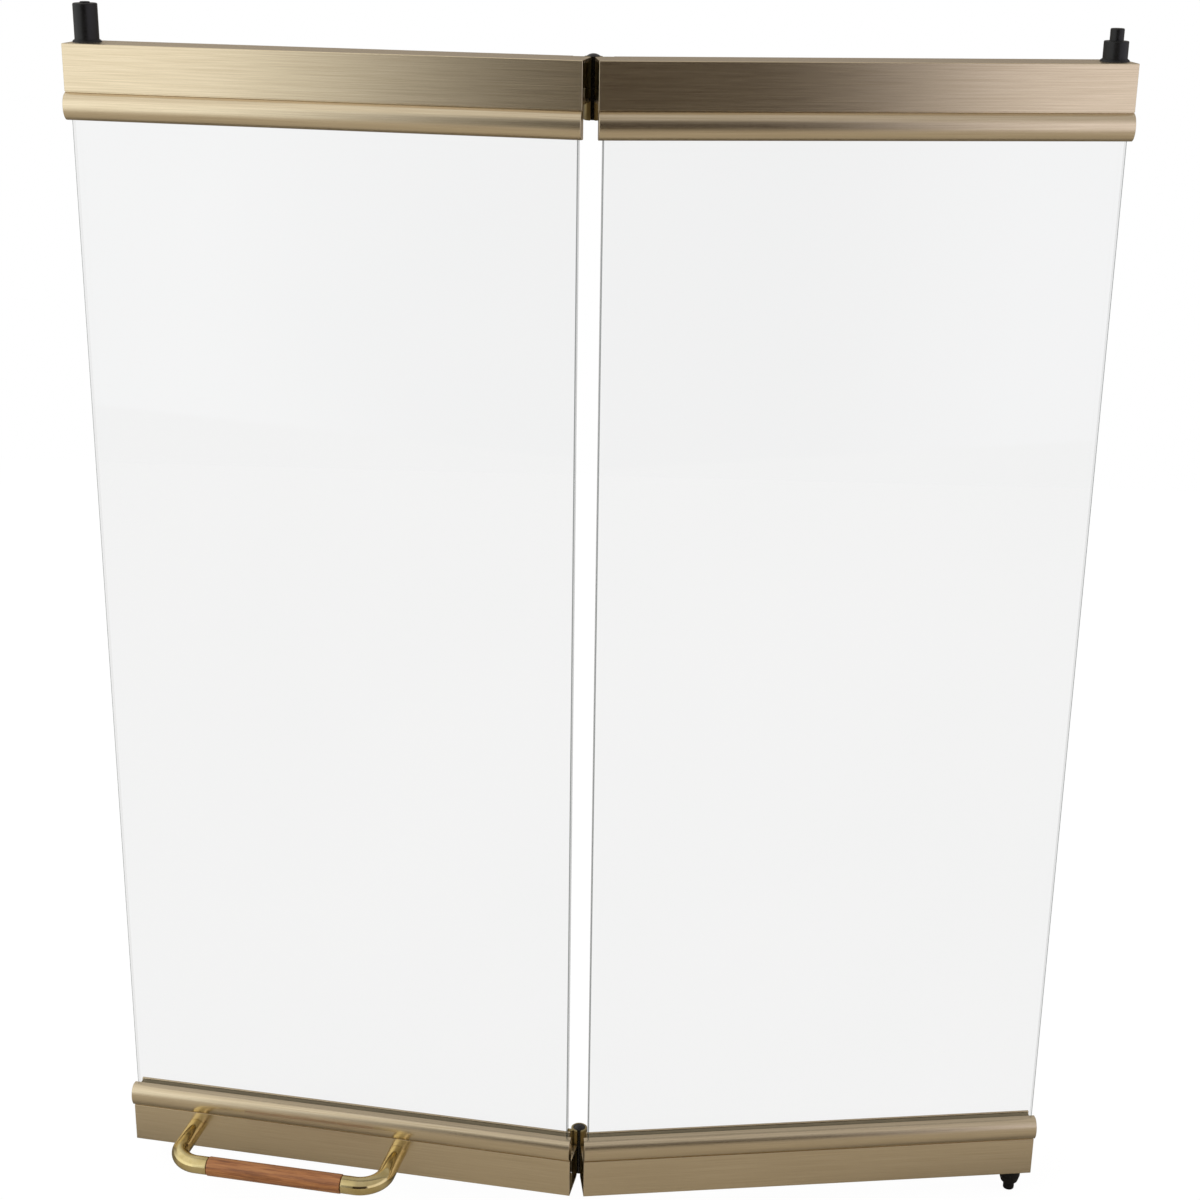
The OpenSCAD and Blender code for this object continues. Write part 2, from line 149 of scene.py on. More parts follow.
# Extrudes an outline, with holes wound the other way, and eases both ends.
def extrude(name, loops, start, end, ease=0.0, layout="x"):
    bm = bmesh.new()
    levels = [(start, ease), (end, ease)]
    if ease:
        levels = [(start, ease), (start + ease, 0), (end - ease, 0), (end, ease)]
    capLoops = [insetLoop(loop, ease) for loop in loops]
    rings = []
    for at, inset in levels:
        level = []
        for loop, small in zip(loops, capLoops):
            level.append([bm.verts.new((p.x, p.y, at)) for p in (small if inset else loop)])
        rings.append(level)
    for low, high in zip(rings[:-1], rings[1:]):
        for a, b in zip(low, high):
            for k in range(len(a)):
                n = (k + 1) % len(a)
                bm.faces.new((a[k], a[n], b[n], b[k]))
    triangles = tessellate_polygon([[p.to_3d() for p in loop] for loop in capLoops])
    for level in (rings[0], rings[-1]):
        flat = [v for loop in level for v in loop]
        for tri in triangles:
            bm.faces.new([flat[i] for i in tri])
    bm.transform(layouts[layout])
    return makePiece(name, bm)


# Turns a profile of (radius, height) points about the z axis.
def turned(name, profile, closed=False, sides=56):
    bm = bmesh.new()
    rings = []
    for radius, height in profile:
        if radius < 1e-6:
            rings.append([bm.verts.new((0, 0, height))])
            continue
        ring = []
        for k in range(sides):
            a = 2 * math.pi * k / sides
            ring.append(bm.verts.new((radius * math.cos(a), radius * math.sin(a), height)))
        rings.append(ring)
    pairs = list(zip(rings[:-1], rings[1:]))
    if closed:
        pairs.append((rings[-1], rings[0]))
    for low, high in pairs:
        for k in range(sides):
            n = (k + 1) % sides
            corners = [low[k % len(low)], low[n % len(low)], high[n % len(high)], high[k % len(high)]]
            # On the axis a ring is one point, so its two corners fall together.
            kept = list(dict.fromkeys(corners))
            if len(kept) > 2:
                bm.faces.new(kept)
    return makePiece(name, bm)


# Sweeps a round section along a level path of (x, y, radius) at height z.
def sweepRound(name, path, z, sides=44):
    bm = bmesh.new()
    rings = []
    spots = [Vector((x, y, z)) for x, y, radius in path]
    for i, spot in enumerate(spots):
        radius = path[i][2]
        ahead = (spots[min(i + 1, len(spots) - 1)] - spots[max(i - 1, 0)]).normalized()
        side = ahead.cross(Vector((0, 0, 1)))
        ring = []
        for k in range(sides):
            a = 2 * math.pi * k / sides
            outward = side * math.cos(a) + Vector((0, 0, math.sin(a)))
            ring.append(bm.verts.new(spot + radius * outward))
        rings.append(ring)
    for low, high in zip(rings[:-1], rings[1:]):
        for k in range(sides):
            n = (k + 1) % sides
            bm.faces.new((low[k], low[n], high[n], high[k]))
    bm.faces.new(rings[0])
    bm.faces.new(rings[-1])
    return makePiece(name, bm)


def move(piece, matrix):
    piece.data.transform(matrix)
    return piece


def facingRear(x, z):
    return Matrix.Translation((x, 0, z)) @ Matrix.Rotation(math.radians(-90), 4, "X")


def plainBlock(x0, x1, y0, y1, z0, z1):
    loop = [Vector((x0, y0)), Vector((x1, y0)), Vector((x1, y1)), Vector((x0, y1))]
    return extrude("cutter", [loop], z0, z1, layout="z")


def plainRod(radius, start, end):
    return turned("cutter", [(0, start), (radius, start), (radius, end), (0, end)])


# Applies one boolean for each tool, then throws the tool away.
def combine(piece, tools, operation="DIFFERENCE"):
    for tool in tools:
        step = piece.modifiers.new("carve", "BOOLEAN")
        step.operation = operation
        step.solver = "EXACT"
        step.object = tool
        bpy.context.view_layer.update()
        graph = bpy.context.evaluated_depsgraph_get()
        carved = bpy.data.meshes.new_from_object(piece.evaluated_get(graph))
        piece.modifiers.clear()
        piece.data = carved
        bpy.data.objects.remove(tool)
    return piece


def softShade(piece):
    piece.data.shade_smooth()
    piece.data.set_sharp_from_angle(angle=math.radians(sharpAngle))
    even = piece.modifiers.new("evenNormals", "WEIGHTED_NORMAL")
    even.keep_sharp = True


# Seats a drawn piece on its panel, hands it to its body and gives it its finish.
# The grain follows the panel unless the piece is squared up with the frame.
def fit(piece, side, body, nodes, paints, upper=False, squared=False):
    place = Matrix.Translation((0, -panel["axisDepth"], 0))
    if upper:
        place = place @ Matrix.Translation((0, 0, panelHigh)) @ Matrix.Diagonal((1, 1, -1, 1))
    if side == "lead":
        place = Matrix.Diagonal((-1, 1, 1, 1)) @ place
    piece.data.transform(Matrix.Scale(mm, 4) @ place)
    if place.determinant() < 0:
        piece.data.flip_normals()
    turn = foldAngle if side == "pivot" else -foldAngle
    seat = Matrix.Translation((hingeAt.x, hingeAt.y, railFoot)) @ Matrix.Rotation(turn, 4, "Z")
    if squared:
        piece.data.transform(seat)
    else:
        piece.matrix_world = seat
    piece.data.materials.clear()
    for paint in paints:
        piece.data.materials.append(paint)
    softShade(piece)
    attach(piece, body)
    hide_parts(*nodes)
    return piece


def newPaint(name):
    paint = bpy.data.materials.new(name)
    paint.use_nodes = True
    tree = paint.node_tree
    return paint, tree.nodes, tree.links, tree.nodes["Principled BSDF"]


# Noise pulled out along an axis: cells is how many grains there are to a metre on x, y and z.
def grain(nodes, links, cells, detail, rough=0.6):
    coords = nodes.new("ShaderNodeTexCoord")
    pull = nodes.new("ShaderNodeMapping")
    pull.inputs["Scale"].default_value = cells
    noise = nodes.new("ShaderNodeTexNoise")
    noise.inputs["Scale"].default_value = 1.0
    noise.inputs["Detail"].default_value = detail
    noise.inputs["Roughness"].default_value = rough
    links.new(coords.outputs["Object"], pull.inputs["Vector"])
    links.new(pull.outputs["Vector"], noise.inputs["Vector"])
    return noise.outputs["Fac"]


def ramp(nodes, links, source, stops):
    band = nodes.new("ShaderNodeValToRGB")
    band.color_ramp.elements[0].position = stops[0][0]
    band.color_ramp.elements[0].color = (*stops[0][1], 1)
    band.color_ramp.elements[1].position = stops[-1][0]
    band.color_ramp.elements[1].color = (*stops[-1][1], 1)
    for at, colour in stops[1:-1]:
        band.color_ramp.elements.new(at).color = (*colour, 1)
    links.new(source, band.inputs["Fac"])
    return band.outputs["Color"]


def spread(nodes, links, source, low, high, fromLow=0.3, fromHigh=0.7):
    span = nodes.new("ShaderNodeMapRange")
    span.inputs["From Min"].default_value = fromLow
    span.inputs["From Max"].default_value = fromHigh
    span.inputs["To Min"].default_value = low
    span.inputs["To Max"].default_value = high
    links.new(source, span.inputs["Value"])
    return span.outputs["Result"]


def raised(nodes, links, shader, height, distance):
    bump = nodes.new("ShaderNodeBump")
    bump.inputs["Strength"].default_value = 1.0
    bump.inputs["Distance"].default_value = distance
    links.new(height, bump.inputs["Height"])
    links.new(bump.outputs["Normal"], shader.inputs["Normal"])


def twoTone(nodes, links, source, shader, look):
    colour = ramp(nodes, links, source, [(0.3, look["dark"]), (0.7, look["light"])])
    links.new(colour, shader.inputs["Base Color"])


def varyGloss(nodes, links, source, shader, look):
    links.new(spread(nodes, links, source, *look["roughness"]), shader.inputs["Roughness"])


# A finish whose one grain mottles its colour, varies its gloss and roughens its skin.
def mottled(name, look):
    paint, nodes, links, shader = newPaint(name)
    skin = grain(nodes, links, look["cells"], look["detail"])
    twoTone(nodes, links, skin, shader, look)
    varyGloss(nodes, links, skin, shader, look)
    shader.inputs["Metallic"].default_value = look.get("metallic", 0.0)
    shader.inputs["Specular IOR Level"].default_value = look.get("specular", 0.5)
    raised(nodes, links, shader, skin, look["relief"])
    return paint


# Shows one shader through another: amount is the second one's share.
def mixSurface(nodes, links, amount, first, second):
    blend = nodes.new("ShaderNodeMixShader")
    if isinstance(amount, float):
        blend.inputs["Fac"].default_value = amount
    else:
        links.new(amount, blend.inputs["Fac"])
    links.new(first, blend.inputs[1])
    links.new(second, blend.inputs[2])
    return blend.outputs["Shader"]


# Satin anodised aluminium, brushed along the rail.
def brushedGold():
    look = {
        "dark": (0.64, 0.53, 0.355),
        "light": (0.79, 0.67, 0.475),
        "streaks": (22, 2100, 2100),
        "scratches": (40, 6500, 6500),
        "roughness": (0.19, 0.26),
        "anisotropic": 0.9,
        "quarterTurn": 0.25,
        "relief": 0.000002,
    }
    paint, nodes, links, shader = newPaint("brushedGold")
    streak = grain(nodes, links, look["streaks"], 5, 0.65)
    scratch = grain(nodes, links, look["scratches"], 3)
    twoTone(nodes, links, streak, shader, look)
    varyGloss(nodes, links, scratch, shader, look)
    shader.inputs["Metallic"].default_value = 1.0
    # The brushing smears reflections across the rail and keeps them crisp along it.
    shader.inputs["Anisotropic"].default_value = look["anisotropic"]
    shader.inputs["Anisotropic Rotation"].default_value = look["quarterTurn"]
    along = nodes.new("ShaderNodeVectorTransform")
    along.vector_type = "VECTOR"
    along.convert_from = "OBJECT"
    along.convert_to = "WORLD"
    along.inputs["Vector"].default_value = (1, 0, 0)
    links.new(along.outputs["Vector"], shader.inputs["Tangent"])
    raised(nodes, links, shader, scratch, look["relief"])
    return paint


def polishedBrass():
    look = {
        "dark": (0.60, 0.475, 0.205),
        "light": (0.76, 0.635, 0.33),
        "clouds": (160, 160, 160),
        "wear": (900, 900, 900),
        "roughness": (0.07, 0.15),
        "relief": 0.000006,
    }
    paint, nodes, links, shader = newPaint("polishedBrass")
    cloud = grain(nodes, links, look["clouds"], 3, 0.5)
    wear = grain(nodes, links, look["wear"], 4)
    twoTone(nodes, links, cloud, shader, look)
    varyGloss(nodes, links, wear, shader, look)
    shader.inputs["Metallic"].default_value = 1.0
    raised(nodes, links, shader, wear, look["relief"])
    return paint


# Oiled reddish hardwood with its grain along the grip.
def oiledWood():
    look = {
        "pore": (0.19, 0.068, 0.022),
        "body": (0.40, 0.160, 0.050),
        "light": (0.52, 0.245, 0.082),
        "figure": (45, 700, 700),
        "pores": (110, 4200, 4200),
        "poreTint": (0.45, 0.34, 0.3),
        "poreShare": 0.7,
        "roughness": (0.5, 0.34),
        "coat": (0.15, 0.25),     # weight and roughness of the oil
        "relief": 0.00004,
    }
    paint, nodes, links, shader = newPaint("oiledWood")
    figure = grain(nodes, links, look["figure"], 5)
    pores = grain(nodes, links, look["pores"], 3)
    tones = [(0.28, look["pore"]), (0.5, look["body"]), (0.74, look["light"])]
    tone = ramp(nodes, links, figure, tones)
    streak = ramp(nodes, links, pores, [(0.34, look["poreTint"]), (0.5, (1, 1, 1))])
    blend = nodes.new("ShaderNodeMix")
    blend.data_type = "RGBA"
    blend.blend_type = "MULTIPLY"
    blend.inputs["Factor"].default_value = look["poreShare"]
    links.new(tone, blend.inputs["A"])
    links.new(streak, blend.inputs["B"])
    links.new(blend.outputs["Result"], shader.inputs["Base Color"])
    varyGloss(nodes, links, pores, shader, look)
    shader.inputs["Coat Weight"].default_value = look["coat"][0]
    shader.inputs["Coat Roughness"].default_value = look["coat"][1]
    raised(nodes, links, shader, pores, look["relief"])
    return paint


# Clear pane: it passes nearly all light and mirrors a little, more at a glancing angle.
def clearGlass():
    look = {
        "haze": (9, 9, 9),
        "dark": (0.973, 0.975, 0.975),
        "light": (0.978, 0.979, 0.979),
        "mirror": (0.3, 0.3, 0.3, 1),
        "polish": 0.02,
        "faceOn": 0.04,     # share mirrored straight on; edge on it is all of it
        "rise": 5,
    }
    paint, nodes, links, shader = newPaint("clearGlass")
    nodes.remove(shader)
    haze = grain(nodes, links, look["haze"], 2, 0.5)
    through = nodes.new("ShaderNodeBsdfTransparent")
    tint = ramp(nodes, links, haze, [(0.3, look["dark"]), (0.7, look["light"])])
    links.new(tint, through.inputs["Color"])
    mirror = nodes.new("ShaderNodeBsdfGlossy")
    mirror.inputs["Roughness"].default_value = look["polish"]
    mirror.inputs["Color"].default_value = look["mirror"]
    edgeOn = nodes.new("ShaderNodeLayerWeight")
    rise = nodes.new("ShaderNodeMath")
    rise.operation = "POWER"
    rise.inputs[1].default_value = look["rise"]
    links.new(edgeOn.outputs["Facing"], rise.inputs[0])
    share = spread(nodes, links, rise.outputs["Value"], look["faceOn"], 1, 0, 1)
    surface = mixSurface(nodes, links, share, through.outputs["BSDF"], mirror.outputs["BSDF"])
    links.new(surface, nodes["Material Output"].inputs["Surface"])
    return paint


# The pane's ground arris: the glass's own grey-green, darkened near to black as painted shade for the
# dark look a glass edge gets from internal reflection.
def groundEdgeAndShade():
    look = {
        "cells": (1200, 1200, 1200),
        "detail": 3,
        "dark": (0.040, 0.050, 0.046),
        "light": (0.080, 0.096, 0.090),
        "roughness": (0.2, 0.4),
        "relief": 0.00001,
        "through": (0.93, 0.95, 0.945, 1),
        "throughShare": 0.3,
    }
    paint = mottled("groundEdgeAndShade", look)
    nodes = paint.node_tree.nodes
    links = paint.node_tree.links
    matt = nodes["Principled BSDF"].outputs["BSDF"]
    through = nodes.new("ShaderNodeBsdfTransparent")
    through.inputs["Color"].default_value = look["through"]
    surface = mixSurface(nodes, links, look["throughShare"], matt, through.outputs["BSDF"])
    links.new(surface, nodes["Material Output"].inputs["Surface"])
    return paint


gold = brushedGold()
brass = polishedBrass()
wood = oiledWood()
nylon = mottled("mouldedNylon", {
    "cells": (1500, 1500, 1500),
    "detail": 3,
    "dark": (0.004, 0.004, 0.004),
    "light": (0.010, 0.0098, 0.0095),
    "roughness": (0.30, 0.44),
    "specular": 0.32,
    "relief": 0.00003,
})
# Dark bronze plating that has rubbed through to a warmer tone.
bronze = mottled("agedBronze", {
    "cells": (420, 420, 160),
    "detail": 4,
    "dark": (0.22, 0.165, 0.070),
    "light": (0.42, 0.335, 0.150),
    "roughness": (0.42, 0.26),
    "metallic": 0.7,
    "relief": 0.00002,
})
oxide = mottled("blackOxide", {
    "cells": (900, 900, 900),
    "detail": 4,
    "dark": (0.008, 0.008, 0.008),
    "light": (0.03, 0.028, 0.026),
    "roughness": (0.22, 0.36),
    "metallic": 0.3,
    "relief": 0.00001,
})
zinc = {
    "cells": (700, 700, 700),
    "detail": 4,
    "roughness": (0.22, 0.38),
    "metallic": 1.0,
    "relief": 0.00001,
}
steel = mottled("zincSteel", {**zinc, "dark": (0.34, 0.34, 0.33), "light": (0.56, 0.56, 0.54)})
springWire = mottled("springWire", {**zinc, "dark": (0.28, 0.28, 0.29), "light": (0.46, 0.46, 0.47)})
vinyl = mottled("greyVinyl", {
    "cells": (80, 1600, 1600),
    "detail": 3,
    "dark": (0.165, 0.135, 0.078),
    "light": (0.230, 0.190, 0.112),
    "roughness": (0.4, 0.6),
    "relief": 0.00002,
})
pane = clearGlass()
edge = groundEdgeAndShade()
print("finishes mixed")


glass = {
    "thick": 4.0,
    "front": 4.0,
    "lowEdge": 18.8,     # from the rail's outer face
    "insetIn": 2.3,
    "insetOut": 0.6,
    "cornerRadius": 1.5,
    "arris": 0.45,
}
glassFrom = panel["endGap"] + glass["insetIn"]
glassTo = outerEnd - glass["insetOut"]

rail = {
    "depth": 20.6,
    "boxHigh": 17.6,
    "wall": 1.6,
    "faceHigh": 19.7,        # flat face up to the crease
    "beadTop": 31.4,
    "beadOut": 2.9,
    "beadDeep": 3.8,         # half axes of the bead's oval
    "beadHalfHigh": 5.8,
    "beadArc": (90, 236),    # degrees, from the slot's side round to the crease
    "slot": (3.0, 10.8),     # front and rear wall of the glass slot
    "slotCorner": 0.3,
    "lipTop": 28.4,
    "lipThick": 1.3,
    "lipCorner": 0.4,
    "crease": (0.6, 0.35),   # depth and height of the groove between flat and bead
    "creaseRim": 0.1,
    "corner": 0.4,
    "ease": 0.08,
    "notch": (8.4, 16.6),    # length and depth of the corner cut away for the hinge
    "hingeScrews": (14.0, 22.0),
    "blockScrew": 20.0,      # from the outer end
    "screwHigh": 8.8,
    "pinHole": 5.95,
    "footHole": 5.25,
}


def railLoops():
    r = rail
    front, rear = r["slot"]
    lipRear = rear + r["lipThick"]
    oval = (r["beadDeep"] - r["beadOut"], r["beadTop"] - r["beadHalfHigh"])
    corner = r["corner"]
    section = roundCorners([
        (0, 0, corner),
        (r["depth"], 0, corner),
        (r["depth"], r["boxHigh"], corner),
        (lipRear, r["boxHigh"], corner),
        (lipRear, r["lipTop"], r["lipCorner"]),
        (rear, r["lipTop"], r["lipCorner"]),
        (rear, r["boxHigh"], r["slotCorner"]),
        (front, r["boxHigh"], r["slotCorner"]),
        (front, r["beadTop"], r["slotCorner"]),
        (oval[0], r["beadTop"], 0),
    ])[:-1]
    section += arcPoints(oval, r["beadDeep"], r["beadHalfHigh"], *r["beadArc"], 22)
    creaseDeep, creaseHigh = r["crease"]
    rim = r["creaseRim"]
    section += roundCorners([
        section[-1][:] + (0,),
        (rim, r["faceHigh"] + creaseHigh / 2 + rim, rim),
        (creaseDeep, r["faceHigh"] + creaseHigh / 2, 0),
        (creaseDeep, r["faceHigh"] - creaseHigh / 2, 0),
        (0, r["faceHigh"] - creaseHigh / 2, 0.15),
        (0, 0, 0),
    ], closed=False)[1:-1]
    w = r["wall"]
    inside = roundCorners([
        (w, w, corner),
        (w, r["boxHigh"] - w, corner),
        (r["depth"] - w, r["boxHigh"] - w, corner),
        (r["depth"] - w, w, corner),
    ])
    return [section, inside]


sink = {
    "shank": 1.6,
    "shankDeep": 2.6,
    "head": 3.0,
    "headDeep": 1.3,
    "headProud": 0.1,        # the cone runs on just past the face
}


def countersink(x):
    rear = rail["depth"]
    profile = [
        (0, rear - sink["shankDeep"]),
        (sink["shank"], rear - sink["shankDeep"]),
        (sink["shank"], rear - sink["headDeep"]),
        (sink["head"], rear + sink["headProud"]),
        (sink["head"], rear + overrun),
        (0, rear + overrun),
    ]
    return move(turned("cutter", profile, sides=40), facingRear(x, rail["screwHigh"]))


def makeRail(name, pinHole, handle):
    along, across = rail["notch"]
    piece = extrude(name, railLoops(), panel["endGap"], outerEnd, rail["ease"])
    rear = rail["depth"]
    wall = rail["wall"]
    lipFrom = rail["slot"][1] - overrun
    lipTo = rail["slot"][1] + rail["lipThick"] + overrun
    tools = [
        plainBlock(-overrun, along, across, rear + overrun, -overrun, rail["boxHigh"] + overrun),
        plainBlock(-overrun, glassFrom, lipFrom, lipTo, rail["boxHigh"], rail["lipTop"] + overrun),
    ]
    tools += [countersink(x) for x in rail["hingeScrews"]]
    if pinHole:
        tools.append(countersink(outerEnd - rail["blockScrew"]))
        pin = Matrix.Translation((pinAlong, panel["pinDepth"], 0))
        tools.append(move(plainRod(pinHole, -overrun, wall + overrun), pin))
    if handle:
        for x in legsAt:
            screwHole = plainRod(pull["screwHole"], -overrun, wall + overrun)
            driverHole = plainRod(pull["driverHole"], rear - wall - overrun, rear + overrun)
            tools += [move(hole, facingRear(x, pull["high"])) for hole in (screwHole, driverHole)]
    return combine(piece, tools)


# Handle sizes come first because the handle's rail is drilled for them.
pull = {
    "middle": 138.5,      # from the hinge plane
    "pitch": 103.8,       # between the two legs
    "reach": 30.0,        # flat face to the grip's axis
    "high": 11.5,
    "rod": 4.3,
    "bend": 12.0,
    "gripLength": 67.6,
    "grip": 4.6,
    "tieRod": 2.0,
    "rodClear": 0.02,     # play round the rod and the screws
    "gripClear": 0.1,
    "seam": 0.3,          # dark joint between wood and brass
    "ease": 0.35,
    "footGap": 0.02,
    "screwDeep": 9,
    "rodDeep": 8,
    "screwHole": 2.3,     # through the rail's front
    "driverHole": 4.2,    # through its rear
}
legsAt = [pull["middle"] + pull["pitch"] / 2, pull["middle"] - pull["pitch"] / 2]
gripEnds = [pull["middle"] + pull["gripLength"] / 2, pull["middle"] - pull["gripLength"] / 2]

bothPanels = (("lead", "left", "lead_panel"), ("pivot", "right", "pivot_panel"))
for side, hand, body in bothPanels:
    top = makeRail(hand + "TopRail", rail["pinHole"], False)
    fit(top, side, body, [hand + "_top_rail"], [gold], upper=True)
    footHole = rail["footHole"] if side == "pivot" else None
    low = makeRail(hand + "BottomRail", footHole, side == "lead")
    fit(low, side, body, [hand + "_bottom_rail"], [gold])
print("rails cut and drilled")


def makePane(name):
    g = glass
    loop = roundCorners([
        (glassFrom, g["lowEdge"], g["cornerRadius"]),
        (glassTo, g["lowEdge"], g["cornerRadius"]),
        (glassTo, panelHigh - g["lowEdge"], g["cornerRadius"]),
        (glassFrom, panelHigh - g["lowEdge"], g["cornerRadius"]),
    ], steps=6)
    return extrude(name, [loop], g["front"], g["front"] + g["thick"], g["arris"], layout="y")


glazing = {
    "belowLip": 0.3,
    "ease": 0.2,
}


# A channel that lines the rail's slot, with the pane held between its two walls.
def makeGlazing(name):
    front = rail["slot"][0] + snug
    rear = rail["slot"][1] - snug
    low = rail["boxHigh"] + snug
    high = rail["lipTop"] - glazing["belowLip"]
    paneFront = glass["front"] - snug
    paneRear = glass["front"] + glass["thick"] + snug
    paneFoot = glass["lowEdge"] - snug
    loop = roundCorners([
        (front, low, 0.2),
        (rear, low, 0.2),
        (rear, high, 0.5),
        (paneRear, high, 0.5),
        (paneRear, paneFoot, 0.1),
        (paneFront, paneFoot, 0.1),
        (paneFront, high, 0.3),
        (front, high, 0.3),
    ])
    return extrude(name, [loop], glassFrom, glassTo, glazing["ease"])


for side, hand, body in bothPanels:
    sheetGlass = makePane(hand + "Pane")
    fit(sheetGlass, side, body, [hand + "_glass"], [pane, edge])
    # Only the front arris is ground and given this painted shade: its faces lean forward without being
    # the front itself.
    for face in sheetGlass.data.polygons:
        frontArris = -0.99 < face.normal.y < -0.3
        face.material_index = 1 if frontArris else 0
    for upper, level in ((True, "Top"), (False, "Bottom")):
        strip = makeGlazing(hand + level + "Glazing")
        node = hand + "_" + level.lower() + "_glazing"
        fit(strip, side, body, [node], [vinyl], upper=upper)
print("panes glazed in")


hinge = {
    "high": 25.4,
    "knuckle": 3.9,
    "bore": 2.25,
    "seam": 1.6,         # open seam of the rolled knuckle
    "leafThick": 1.85,
    "leafFront": 17.1,
    "rollEase": 0.22,
    "neckFrom": 3.45,
    "neckTo": 8.2,
    "neckHigh": 17.4,    # fills the rail's corner and no more
    "neckEase": 0.12,    # below its smallest corner, or the mesh folds over itself
    "bridge": (2.6, 5.2),
    "bridgeShy": (0.06, 0.04, 0.1),    # how far it stays inside the leaf's front, rear and ends
    "tongueFrom": 4.45,
    "tongueTo": 27.0,
    "tongue": (1.8, 15.8),
    "tongueCorner": 1.6,
    "tongueShy": 0.02,
    "tongueEase": 0.2,
    "pin": 2.2,
    "dome": 3.0,
    "domeHigh": 1.15,
    "domeRim": 0.1,
    "gap": 0.05,
}


def makeLeaf(name, knuckleFrom, knuckleTo, neckLow, tongueLow, tongueTop):
    h = hinge
    axis = (0, panel["axisDepth"])
    leafRear = h["leafFront"] + h["leafThick"]
    # Rolled knuckle, drawn as an open ring whose seam faces the fold's middle line.
    middle = -90 - math.degrees(foldAngle)
    outerHalf = math.degrees(math.asin(h["seam"] / 2 / h["knuckle"]))
    innerHalf = math.degrees(math.asin(h["seam"] / 2 / h["bore"]))
    start = middle + outerHalf
    ring = arcPoints(axis, h["knuckle"], h["knuckle"], start, middle + 360 - outerHalf, 56)
    start = middle + 360 - innerHalf
    ring += arcPoints(axis, h["bore"], h["bore"], start, middle + innerHalf, 44)
    roll = extrude(name, [ring], knuckleFrom, knuckleTo, h["rollEase"], layout="z")
    front = h["leafFront"] + h["bridgeShy"][0]
    rear = leafRear - h["bridgeShy"][1]
    ends = h["bridgeShy"][2]
    bridge = plainBlock(*h["bridge"], front, rear, knuckleFrom + ends, knuckleTo - ends)
    bore = plainRod(h["bore"], knuckleFrom - overrun, knuckleTo + overrun)
    move(bore, Matrix.Translation((*axis, 0)))
    combine(bridge, [bore])
    neckLoop = roundCorners([
        (h["neckFrom"], h["leafFront"], 0.15),
        (h["neckTo"], h["leafFront"], 0.3),
        (h["neckTo"], leafRear, 0.3),
        (h["neckFrom"], leafRear, 0.15),
    ])
    neck = extrude("neck", [neckLoop], neckLow, neckLow + h["neckHigh"], h["neckEase"], layout="z")
    tongueLoop = roundCorners([
        (h["tongueFrom"], tongueLow, 0),
        (h["tongueTo"], tongueLow, h["tongueCorner"]),
        (h["tongueTo"], tongueTop, h["tongueCorner"]),
        (h["tongueFrom"], tongueTop, 0),
    ])
    front = h["leafFront"] + h["tongueShy"]
    rear = leafRear - h["tongueShy"]
    tongue = extrude("tongue", [tongueLoop], front, rear, h["tongueEase"], layout="y")
    combine(roll, [bridge, neck, tongue], "UNION")
    screwAt = (tongueLow + tongueTop) / 2
    holes = []
    for x in rail["hingeScrews"]:
        hole = plainRod(pilotHole, h["leafFront"] - overrun, leafRear + overrun)
        holes.append(move(hole, facingRear(x, screwAt)))
    return combine(roll, holes)


def makeHingePin(name):
    h = hinge
    ball = (h["dome"] ** 2 + h["domeHigh"] ** 2) / (2 * h["domeHigh"])
    sweep = math.degrees(math.asin(h["dome"] / ball))
    top = h["high"] + h["domeHigh"]
    cap = arcPoints((0, top - ball), ball, ball, 90 - sweep, 90, 8)
    profile = roundCorners([(0, 0, 0), (h["pin"], 0, 0.3), (h["pin"], h["high"], 0)], closed=False)
    profile.append(Vector((h["dome"] - h["domeRim"], h["high"])))
    profile += cap[:-1] + [Vector((0, top))]
    return turned(name, profile, sides=48)


for level, lift in (("upper", panelHigh - hinge["high"]), ("lower", 0.0)):
    neckLow = 0
    tongueLow, tongueTop = hinge["tongue"]
    if level == "upper":
        neckLow = hinge["high"] - hinge["neckHigh"]
        tongueLow, tongueTop = hinge["high"] - tongueTop, hinge["high"] - tongueLow
    half = hinge["high"] / 2
    hoist = Matrix.Translation((0, 0, lift))
    for side, body, low, high in (
        ("lead", "lead_panel", half + hinge["gap"], hinge["high"]),
        ("pivot", "pivot_panel", 0, half - hinge["gap"]),
    ):
        leaf = makeLeaf(level + side.capitalize() + "Leaf", low, high, neckLow, tongueLow, tongueTop)
        node = level + "_hinge_" + side + "_leaf"
        fit(move(leaf, hoist), side, body, [node], [bronze])
    onAxis = Matrix.Translation((0, panel["axisDepth"], lift))
    pin = move(makeHingePin(level + "HingePin"), onAxis)
    fit(pin, "pivot", "pivot_panel", [level + "_hinge_pin"], [oxide])
print("hinges rolled and pinned")


pins = {
    "peg": 5.15,
    "stem": (5.33, 1.2),     # fuller where the pin runs in its bush
    "pegRise": 15.9,
    "nub": (2.1, 0.6),
    "pivotRise": 8.3,
    "topTip": (2.9, 5.0),
    "footDrop": 10.4,
    "foot": 5.1,
    "footTaper": (4.1, 3.4),
    "footTip": (2.7, 4.5),
    "footIn": 12.95,
    "bushEnd": 2.4,
    "collar": (6.2, 0.9),
    "collarTaper": 0.4,
    "bush": 5.9,
    "flange": (6.08, 1.2),
    "spigot": (3.1, 7.3),
    "blockLength": 26.0,
    "blockBore": 6.15,
    "blockCorner": 0.5,
    "blockEase": 0.35,
    "footClear": 0.02,
    "footHoleTo": 13.0,      # bottom of the foot pin's blind hole
    "screwBite": 8,
}
overPin = Matrix.Translation((pinAlong, panel["pinDepth"], 0))


